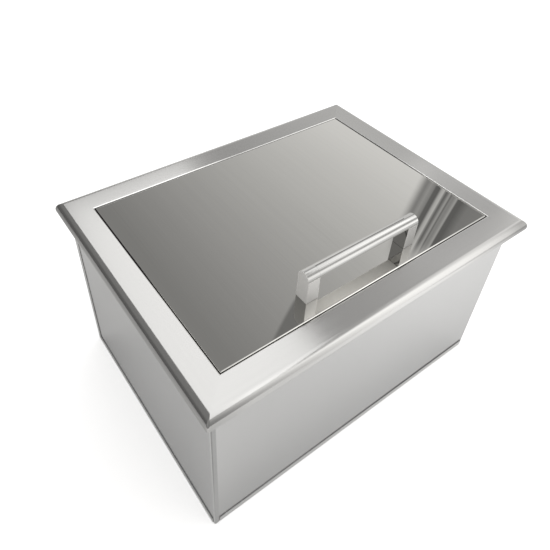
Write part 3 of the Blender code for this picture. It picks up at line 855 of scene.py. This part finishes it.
polished = steel(
    "polished_steel", (0.70, 0.69, 0.675), 0.13, (60.0, 60.0, 900.0), grain_tone=0.03,
    grain_rough=0.04, cloud_tone=0.02, cloud_size=30.0,
)
thread = [(TUBE_RADIUS, TUBE_FOOT + 0.0010)]
for number in range(THREADS):
    crest = TUBE_FOOT + 0.0012 + number * THREAD_PITCH
    thread += [(TUBE_RADIUS, crest), (THREAD_ROOT, crest + 0.0008), (THREAD_ROOT, crest + 0.0012)]
drain_cup = [
    (TUBE_BORE, TUBE_FOOT), (TUBE_RADIUS - 0.0008, TUBE_FOOT), *thread,
    (TUBE_RADIUS, TUBE_FOOT + 0.0206), (TUBE_RADIUS, CUP_FOOT),
    (CUP_OUTER - 0.0006, CUP_FOOT + 0.0012), (CUP_OUTER, CUP_FOOT + 0.0024),
    (CUP_OUTER, FLANGE_FOOT), (FLANGE_RADIUS - SMALL_EDGE, FLANGE_FOOT),
    (FLANGE_RADIUS, FLANGE_FOOT + SMALL_EDGE),
    (FLANGE_RADIUS - SMALL_EDGE, FLANGE_FOOT + 0.0009),
    (FLANGE_RADIUS - 0.0012, FLANGE_HEAD - 0.0001), (FLANGE_RADIUS - 0.0030, FLANGE_HEAD),
    (CUP_RADIUS + 0.0012, FLANGE_HEAD), (CUP_RADIUS + 0.0004, FLANGE_HEAD - 0.0002),
    (CUP_RADIUS, FLANGE_HEAD - 0.0006), (CUP_RADIUS, STRAINER_FOOT - GAP),
    (SEAT_RADIUS, STRAINER_FOOT - GAP), (SEAT_RADIUS, CUP_FOOT + 0.0032),
    (TUBE_BORE + 0.0006, CUP_FOOT + 0.0019), (TUBE_BORE, CUP_FOOT + 0.0012),
]
finished(
    "drain_cup", lathed(drain_cup), polished, "bin", "drain_body",
    grain=(0.0, 0.0, 1.0),
)

rubber, shader, spot = new_look("black_rubber")
dust = noise(spot, 220.0, 6.0)
plug(shader, {
    "Base Color": two_tone(dust, (0.030, 0.030, 0.032), (0.085, 0.083, 0.080)),
    "Roughness": fade(dust, 0.3, 0.7, 0.6, 0.8),
    "Normal": relief(dust, 0.25, 0.0002),
})
seal_ring = [
    (FIT_RADIUS, SEAL_FOOT), (SEAL_RADIUS - SMALL_EDGE, SEAL_FOOT),
    (SEAL_RADIUS, SEAL_FOOT + SMALL_EDGE), (SEAL_RADIUS, SEAL_HEAD - SMALL_EDGE),
    (SEAL_RADIUS - SMALL_EDGE, SEAL_HEAD), (FIT_RADIUS, SEAL_HEAD),
]
finished("drain_seal_ring", lathed(seal_ring), rubber, "bin", "drain_gasket")

# zinc plating: cool grey with a fine spangle and duller patches
zinc, shader, spot = new_look("zinc_plate", 1.0)
spangle = cells(spot, 260.0)
dull_and_shade = noise(spot, 45.0, 5.0)
tone = calc("SUBTRACT", calc("MULTIPLY_ADD", spangle, 0.5, dull_and_shade), 0.2)
plug(shader, {
    "Base Color": two_tone(tone, (0.40, 0.41, 0.42), (0.58, 0.59, 0.60)),
    "Roughness": fade(dull_and_shade, 0.35, 0.65, 0.34, 0.52),
    "Normal": relief(spangle, 0.2, 0.0001),
})


def locknut(sides=72):
    """Hexagon with its corners turned off, its edges broken and a smooth bore."""
    turns = [math.tau * index / sides for index in range(sides)]
    flats = [(turn + math.pi / 6) % (math.pi / 3) - math.pi / 6 for turn in turns]
    hexagon = [min(NUT_FLAT / math.cos(flat), NUT_CORNER) for flat in flats]
    bore = [FIT_RADIUS] * sides
    rings = []
    for shape, change, height in (
        (hexagon, -NUT_EDGE, NUT_FOOT), (hexagon, 0.0, NUT_FOOT + NUT_EDGE),
        (hexagon, 0.0, NUT_HEAD - NUT_EDGE), (hexagon, -NUT_EDGE, NUT_HEAD),
        (bore, BORE_EDGE, NUT_HEAD), (bore, 0.0, NUT_HEAD - BORE_EDGE),
        (bore, 0.0, NUT_FOOT + BORE_EDGE), (bore, BORE_EDGE, NUT_FOOT),
    ):
        rings.append([around(out + change, turn, height) for out, turn in zip(shape, turns)])
    return looped(rings)


finished("drain_nut", locknut(), zinc, "bin", "drain_locknut", smooth=25.0)


def strainer_tree():
    """Round plate punched on rings of holes, one more six for each ring outwards."""
    inputs = (
        ("Float", "Plate Radius", STRAINER_RADIUS), ("Float", "Foot", STRAINER_FOOT),
        ("Float", "Thickness", STRAINER_HEAD - STRAINER_FOOT),
        ("Float", "Hole Radius", STRAINER_HOLE), ("Float", "Pitch", STRAINER_PITCH),
        ("Int", "Rings", 3), ("Int", "Seed", 4), ("Material", "Finish"),
    )
    outputs = [("Geometry", "Geometry")]
    tree, given = new_group("punched strainer", inputs, outputs, "GeometryNodeTree")
    thick, rings = given["Thickness"], given["Rings"]

    def drum(vertices, radius, depth):
        inputs = {"Vertices": vertices, "Radius": radius, "Depth": depth}
        return fed("GeometryNodeMeshCylinder", inputs)

    middle = calc("MULTIPLY_ADD", thick, 0.5, given["Foot"])
    raised = fed("ShaderNodeCombineXYZ", {"Z": middle})
    plate = drum(96, given["Plate Radius"], thick)
    plate = fed("GeometryNodeTransform", {"Geometry": plate, "Translation": raised})
    punch = drum(20, given["Hole Radius"], product(thick, 4.0))

    # ring of the point: the largest whole k with 3k(k - 1) + 1 not above its number
    number = node(tree, "GeometryNodeInputIndex").outputs[0]
    root = calc("MAXIMUM", calc("MULTIPLY_ADD", number, 12.0, -3.0), 0.0)
    root = calc("SQRT", root)
    ring = calc("FLOOR", calc("DIVIDE", calc("ADD", root, 3.0), 6.0))
    ring = product(ring, calc("GREATER_THAN", number, 0.5))
    inner = calc("SUBTRACT", ring, 1.0)
    before = calc("ADD", product(ring, inner, 3.0), 1.0)
    place = calc("MULTIPLY_ADD", inner, 0.5, calc("SUBTRACT", number, before))
    whole = calc("MAXIMUM", product(ring, 6.0), 1.0)
    angle = product(calc("DIVIDE", place, whole), math.tau)
    reach = product(ring, given["Pitch"])
    spot = fed("ShaderNodeCombineXYZ", {
        "X": product(reach, calc("COSINE", angle)),
        "Y": product(reach, calc("SINE", angle)),
        "Z": middle,
    })
    count = product(rings, calc("ADD", rings, 1.0), 3.0)
    points = fed("GeometryNodePoints", {"Count": calc("ADD", count, 1.0)})
    points = fed("GeometryNodeSetPosition", {"Geometry": points, "Position": spot})
    wobble = {2: 0.0, 3: 0.3, "Seed": given["Seed"]}
    wobble = fed("FunctionNodeRandomValue", wobble, 1, data_type="FLOAT")
    spin = fed("ShaderNodeCombineXYZ", {"Z": wobble})
    punches = {"Points": points, "Instance": punch, "Rotation": spin}
    punches = fed("GeometryNodeInstanceOnPoints", punches)
    punches = fed("GeometryNodeRealizeInstances", {0: punches})
    cut = {"Mesh 1": plate, "Mesh 2": punches}
    cut = fed("GeometryNodeMeshBoolean", cut, operation="DIFFERENCE", solver="EXACT")
    cut = fed("GeometryNodeRealizeInstances", {0: cut})
    cut = fed("GeometryNodeSetMaterial", {"Geometry": cut, "Material": given["Finish"]})
    node(tree, "NodeGroupOutput", {0: cut})
    return tree


def punched(blank):
    maker = blank.modifiers.new("maker", "NODES")
    maker.node_group = strainer_tree()
    chosen = {"Plate Radius": STRAINER_RADIUS, "Seed": 4, "Finish": polished}
    for item in maker.node_group.interface.items_tree:
        if item.name in chosen:
            maker[item.identifier] = chosen[item.name]


strainer = as_bmesh(worked(bmesh.new(), punched))
finished("drain_sieve", strainer, polished, "bin", "drain_strainer")

# Rim
# Four rails folded from thicker sheet: a skirt beside the lid, a broad flat, a full
# round nose and a short return. They are mitred, welded and brushed along their length.
OPENING_X = 0.2565
OPENING_Y = 0.1835
RIM_TOP = 0.3330
RIM_SHEET = 0.0015
RIM_BEND = 0.0022
RIM_FLAT = 0.0358
RETURN_END = RIM_FLAT - 0.0007
NOSE_RADIUS = 0.0125
NOSE_LOWER = 0.0100
NOSE_MIDDLE = RIM_TOP - NOSE_RADIUS
NOSE_FOOT = NOSE_MIDDLE - NOSE_LOWER
SKIRT_FOOT = 0.3143
CORNER_SOFT = 0.0034
MITRE_STEPS = 6
RIM_STEEL = (0.582, 0.577, 0.566)
# place along the rail and level of painted light on the nose
NOSE_PAINTED_LIGHT = (
    (-0.300, 0.84), (-0.240, 1.08), (0.040, 1.05), (0.140, 1.00), (0.200, 0.90), (0.250, 0.74),
    (0.285, 0.52), (0.305, 0.50),
)


def rim_section():
    """Outside of the fold from the skirt to the return, then the inside back again."""
    bend = (RIM_BEND, RIM_TOP - RIM_BEND)
    nose = (RIM_FLAT, NOSE_MIDDLE)
    lower = (RIM_FLAT + NOSE_RADIUS - NOSE_LOWER, NOSE_MIDDLE)
    return [
        (0.0, SKIRT_FOOT), *arc(bend, RIM_BEND, math.pi, QUARTER, 8),
        *[(RIM_FLAT * share, RIM_TOP) for share in (0.25, 0.5, 0.75)],
        *arc(nose, NOSE_RADIUS, QUARTER, 0.0, 24),
        *arc(lower, NOSE_LOWER, 0.0, -QUARTER, 18)[1:],
        (RETURN_END, NOSE_FOOT), (RETURN_END, NOSE_FOOT + RIM_SHEET),
        *arc(lower, NOSE_LOWER - RIM_SHEET, -QUARTER, 0.0, 12),
        *arc(nose, NOSE_RADIUS - RIM_SHEET, 0.0, QUARTER, 14)[1:],
        *arc(bend, RIM_BEND - RIM_SHEET, QUARTER, math.pi, 4), (RIM_SHEET, SKIRT_FOOT),
    ]


def rim_rail(along, across, angle):
    """Rail whose ends turn half a corner, softly where the nose is ground round."""
    rings = []
    swings = [QUARTER / 2 * step / MITRE_STEPS for step in range(MITRE_STEPS + 1)]
    for end, swing in [(-1, swing) for swing in swings[::-1]] + [(1, swing) for swing in swings]:
        ring = []
        for out, height in rim_section():
            soft = CORNER_SOFT * max(0.0, (out - RIM_FLAT) / NOSE_RADIUS)
            side = along + out - soft * (1.0 - math.sin(swing))
            depth = across + out - soft * (1.0 - math.cos(swing))
            if swing == swings[-1]:
                side = depth - across + along
            ring.append((end * side, -depth, height))
        rings.append(ring)
    return turned(skinned(rings), angle)


def bend_and_gap_painted_light(out, height, tone, foot):
    """Painted light and shade by the lid: a painted level on the inner bend and a painted shadow
    on its foot in the gap; one elsewhere.
    """
    foot = blended(fade(height, RIM_TOP - 0.0012, RIM_TOP - 0.0008), foot, 1.0)
    bend = fade(out, 0.0012, 0.0020, 1.0, 0.0)
    return blended(bend, 1.0, product(tone, foot))


def past(place, opening):
    """How far a place is out from the edge of the opening."""
    return calc("SUBTRACT", calc("ABSOLUTE", place), opening)


def long_rail_painted_light(across, deep, height):
    """Painted light on the long rails: the nose painted brighter and darker towards its ends, the
    back inner bend painted bright, painted shadow in the gap, and the flats darker at the back
    right.
    """
    away = product(fade(across, -0.10, 0.02), fade(deep, 0.1, 0.2))
    out = past(deep, OPENING_Y)
    left, right = [fade(deep, -0.1, 0.1, 1.0, back) for back in (1.35, 1.40)]
    tone = blended(fade(across, -0.08, 0.06), left, right)
    foot = fade(deep, -0.1, 0.1, fade(across, -0.12, 0.02, 1.0, 0.4), 0.06)
    bend = bend_and_gap_painted_light(out, height, tone, foot)
    # flats painted darker at the back right
    flat = product(blended(away, 1.0, 0.86), bend)
    # painted light along the nose, brighter in the middle and darker at its ends
    painted_nose = graded(across, NOSE_PAINTED_LIGHT, 1.2)
    return blended(fade(out, 0.0365, 0.0405), flat, painted_nose)


def short_rail_painted_light(across, deep, height):
    """Painted light on the short rails: the nose painted darker, most of all at the back and
    below there, the bend by the lid bright at the front and dark at the back, and the right rail
    darker at the back.
    """
    # painted shade: the nose darker, most of all at the back and below
    under = fade(height, NOSE_FOOT + 0.0060, NOSE_FOOT + 0.0090, 1.0, 0.0)
    under = product(under, fade(deep, 0.10, 0.15))
    dull_and_shade = fade(deep, 0.12, 0.20, 0.68, 0.52)
    dull_and_shade = product(dull_and_shade, blended(under, 1.0, 0.70))
    away = product(fade(deep, -0.06, 0.04), fade(across, 0.2, 0.3))
    out = past(across, OPENING_X)
    tone = fade(deep, -0.06, 0.04, 1.50, 0.60)
    foot = fade(deep, -0.06, 0.04, 1.0, 0.25)
    bend = bend_and_gap_painted_light(out, height, tone, foot)
    flat = product(blended(away, 1.0, 0.88), bend)
    return blended(fade(out, 0.0445, 0.0467), flat, dull_and_shade)


def rim_look(name, stretch, level):
    return steel(
        name, RIM_STEEL, 0.165, stretch, grain_rough=0.03, cloud_tone=0.012, cloud_size=5.0,
        smudge_rough=0.01, scratches=0.25, bump=0.02, anisotropy=0.35, level=level,
    )


rails = (
    (OPENING_X, OPENING_Y, (1.0, 0.0, 0.0),
     rim_look("rim_brushed_across", (5.0, 620.0, 620.0), long_rail_painted_light)),
    (OPENING_Y, OPENING_X, (0.0, 1.0, 0.0),
     rim_look("rim_brushed_deep", (620.0, 5.0, 620.0), short_rail_painted_light)),
)
rim_pieces = []
for index, (label, angle) in enumerate(SIDES):
    along, across, way, look = rails[index % 2]
    rail = rim_rail(along, across, angle)
    rim_pieces.append(finished(
        "rim_rail_" + label, rail, look, "bin", "rim_" + label, grain=way,
    ))


def flag_lamp(lamp, pieces):
    """Let a lamp reach the given pieces only."""
    reached = bpy.data.collections.new(lamp.name + "_reach")
    for piece in pieces:
        reached.objects.link(piece)
    lamp.light_linking.receiver_collection = reached


flag_lamp(rim_strip, rim_pieces)
flag_lamp(rim_fill, rim_pieces)
flag_lamp(bend_lamp, rim_pieces[1:3])

# Lid
# A folded skin, brushed from front to back to a half mirror and flush with the rim.
# A satin tray closes it from below, and foam fills it.
LID_X = 0.2554
LID_Y = 0.1824
LID_FOOT = 0.3143
LID_SHEET = 0.0012
LID_BEND = 0.0020
LINER_X = LID_X - LID_SHEET - GAP
LINER_Y = LID_Y - LID_SHEET - GAP
LINER_SHEET = 0.0010
LINER_BEND = 0.0020
LINER_HEAD = LID_FOOT + 0.0100
TRAY_CORNER = 0.0010
LID_STEEL = (0.732, 0.724, 0.697)


def tray(half_x, half_y, floor, brim, bend, sheet):
    """Folded tray with a flat floor, walls to the brim and tight welded corners."""
    rise = 1.0 if brim > floor else -1.0
    rings = []
    for inset, order in ((0.0, 1), (sheet, -1)):
        section = arc((-bend, floor + rise * bend), bend - inset, -rise * QUARTER, 0.0, 6)
        soft = max(0.0002, TRAY_CORNER - inset)
        rings += [
            rounded_ring(half_x + out, half_y + out, soft, height)
            for out, height in [*section, (-inset, brim)]
        ][::order]
    return skinned(rings)


def lid_front_painted_highlight(across, deep, height):
    """Painted highlight: the front bend of the lid is painted bright, fading to darker than the
    sheet towards its right end.
    """
    bend = fade(deep, -LID_Y + 0.0014, -LID_Y + 0.0020, 1.0, 0.0)
    # painted highlight on the front bend
    return blended(bend, 1.0, fade(across, -0.02, 0.25, 1.20, 0.52))


lid_steel = steel(
    "lid_brushed_steel", LID_STEEL, 0.0095, (640.0, 6.0, 640.0), grain_tone=0.06,
    grain_rough=0.004, cloud_tone=0.012, cloud_size=4.0, smudge_rough=0.01, scratches=0.15,
    bump=0.02, anisotropy=0.5, level=lid_front_painted_highlight,
)
lid_skin = tray(LID_X, LID_Y, RIM_TOP, LID_FOOT, LID_BEND, LID_SHEET)
finished("lid_top_skin", lid_skin, lid_steel, "lid", "lid_skin", (0.0, 1.0, 0.0))
liner = tray(LINER_X, LINER_Y, LID_FOOT, LINER_HEAD, LINER_BEND, LINER_SHEET)
finished("lid_under_tray", liner, tub_steel, "lid", "lid_liner")

# Handle
# A half-round bar between two round-topped posts. The crowns are polished, the faces of
# the posts and the underside of the bar are blasted to a pale satin. Two shallow lines
# run along the crown, and two screws with a backing plate hold each post.
HANDLE_Y = -0.1488
POST_MIDDLE = 0.09475
POST_HALF = 0.01025
POST_END = POST_MIDDLE + POST_HALF
POST_FOOT = 0.3333
SPRING_LINE = 0.3740
CROWN = 0.0110
BAR_HALF = 0.0842
BAR_FOOT = 0.3722
BAR_CHAMFER = 0.0016
# middle and half width of a cut line in degrees, and how softly it darkens
LINES = ((83.0, 3.2, 3.0), (129.5, 3.6, 12.0))
LINE_DEPTH = 0.0004
LINE_SLOPE = math.radians(0.8)
CROWN_STEEL = (0.727, 0.722, 0.707)
SATIN_STEEL = (0.86, 0.85, 0.83)


def rightwards(across, left, right):
    """Number that goes from its left to its right value along the bar."""
    return fade(across, -0.06, 0.06, left, right)


def crown_painted_shade(lines):
    """Painted shade: darker in the cut lines, down the front flank and towards the right end."""
    def level(across, deep, height):
        up = calc("SUBTRACT", height, SPRING_LINE)
        back = calc("SUBTRACT", deep, HANDLE_Y)
        turn = calc("ABSOLUTE", calc("DEGREES", calc("ARCTAN2", up, back)))
        # painted shade down the front flank and towards the right
        tone = fade(turn, 151.0, 164.0, 1.0, 0.60)
        tone = product(tone, rightwards(across, 0.98, 0.86))
        for middle, half, edge in lines:
            # painted shade in the cut lines
            line = soft_band(turn, middle, half - 1.6, edge)
            tone = product(tone, blended(line, 1.0, 0.36))
        return tone
    return level


def handle_look(name, lines, satin_where, foot, head):
    """Polished crown steel that turns to a blasted satin where the mask says so. The satin is
    painted darker towards the foot and to the right and brighter where seen in reflections, and
    its outer end faces are painted lighter at the left and half as bright in reflections.
    """
    made = steel(
        name, CROWN_STEEL, 0.083, (8.0, 900.0, 900.0), grain_tone=0.02, grain_rough=0.02,
        cloud_tone=0.01, cloud_size=30.0, smudge_rough=0.02, scratches=0.2, bump=0.02,
        level=crown_painted_shade(lines),
    )
    tree = made.node_tree
    shader = tree.nodes["Principled BSDF"]
    spot = here(tree)
    across, _, height = split(spot)
    side = calc("ABSOLUTE", across)
    satin = satin_where(side, height)
    blast = noise(spot, 900.0, 3.0)
    tones = [(*[share * part for part in SATIN_STEEL], 1.0) for share in (0.92, 1.08)]
    mirrored = node(tree, "ShaderNodeLightPath").outputs["Is Glossy Ray"]
    # painted shade by height and side, and a painted reflection: brighter where seen mirrored in
    # the lid
    shade = product(
        fade(height, POST_FOOT, SPRING_LINE, foot, head),
        rightwards(across, 1.0, 0.72), blended(mirrored, 1.0, 1.12),
    )
    # outer end faces: painted lighter at the left, darker at the right and half as bright in
    # reflections
    end_face = blended(mirrored, rightwards(across, 1.08, 0.90), 0.50)
    outer = fade(side, POST_END - 0.0004, POST_END - 0.0002)
    shade = blended(outer, shade, end_face)
    pale = tinted(1.0, tinted(blast, *tones), shade, "MULTIPLY")
    colour, rough = [
        shader.inputs[given].links[0].from_socket for given in ("Base Color", "Roughness")
    ]
    dull_and_shade = fade(blast, 0.2, 0.8, 0.38, 0.50)
    plug(shader, {
        "Base Color": tinted(satin, colour, pale),
        "Roughness": blended(satin, rough, dull_and_shade),
        "Metallic": blended(satin, 1.0, 0.25),
    })
    return made


def bar_satin(side, height):
    return fade(height, BAR_FOOT + 0.0002, BAR_FOOT + 0.0008, 1.0, 0.0)


def post_satin(side, height):
    below = fade(height, SPRING_LINE - 0.0006, SPRING_LINE + 0.0006, 1.0, 0.0)
    outer = fade(side, POST_END - 0.0006, POST_END - 0.0002)
    inner = fade(side, BAR_HALF + 0.0004, BAR_HALF + 0.0008)
    return product(calc("MAXIMUM", below, outer), inner)


def crown(radius, lines):
    """Half round from back to front, with shallow lines cut in it where given."""
    centre = (HANDLE_Y, SPRING_LINE)
    points = []
    start = 0.0
    for middle, half, _ in lines:
        near, far = math.radians(middle - half), math.radians(middle + half)
        points += arc(centre, radius, start, near, 12)
        points += arc(centre, radius - LINE_DEPTH, near + LINE_SLOPE, far - LINE_SLOPE, 2)
        start = far
    return points + arc(centre, radius, start, math.pi, 14)


def handle_bar():
    """Crown over a flat underside whose two long edges are broken."""
    inner = CROWN - BAR_CHAMFER
    edge = BAR_FOOT + BAR_CHAMFER
    corners = ((-CROWN, edge), (-inner, BAR_FOOT), (inner, BAR_FOOT), (CROWN, edge))
    section = crown(CROWN, LINES) + [(HANDLE_Y + out, height) for out, height in corners]
    ends = (-BAR_HALF - 0.0002, BAR_HALF + 0.0002)
    return skinned([[(side, deep, height) for deep, height in section] for side in ends])


def handle_post(side):
    """Round-topped block with flat faces and its edges broken all round."""
    rings = []
    for out, shrink in (
        (-POST_HALF, 0.0), (-POST_HALF + 0.0001, 0.0), (POST_HALF - 0.0004, 0.0),
        (POST_HALF, 0.0004),
    ):
        ring = crown(CROWN - shrink, LINES[1:])
        ring += [(HANDLE_Y - CROWN + shrink, POST_FOOT), (HANDLE_Y + CROWN - shrink, POST_FOOT)]
        rings.append([(side * (POST_MIDDLE + out), deep, height) for deep, height in ring])
    return skinned(rings)


# last two numbers: painted shade level of the satin at the foot and at the spring line
bar_steel = handle_look("handle_bar_steel", LINES, bar_satin, 1.0, 1.0)
post_steel = handle_look("handle_post_steel", LINES[1:], post_satin, 0.66, 0.88)
handle_pieces = [finished(
    "handle_grip", handle_bar(), bar_steel, "lid", "handle_bar", smooth=25.0,
)]
for label, side in (("left", -1), ("right", 1)):
    handle_pieces.append(finished(
        "handle_leg_" + label, handle_post(side), post_steel, "lid",
        "handle_post_" + label, grain=(0.0, 0.0, 1.0), smooth=20.0,
    ))
    screws = ["handle_screw_" + label + end for end in ("_front", "_back")]
    coated(["handle_backing_" + label, *screws], zinc)
flag_lamp(crown_lamp, handle_pieces)
flag_lamp(bounce_lamp, handle_pieces)
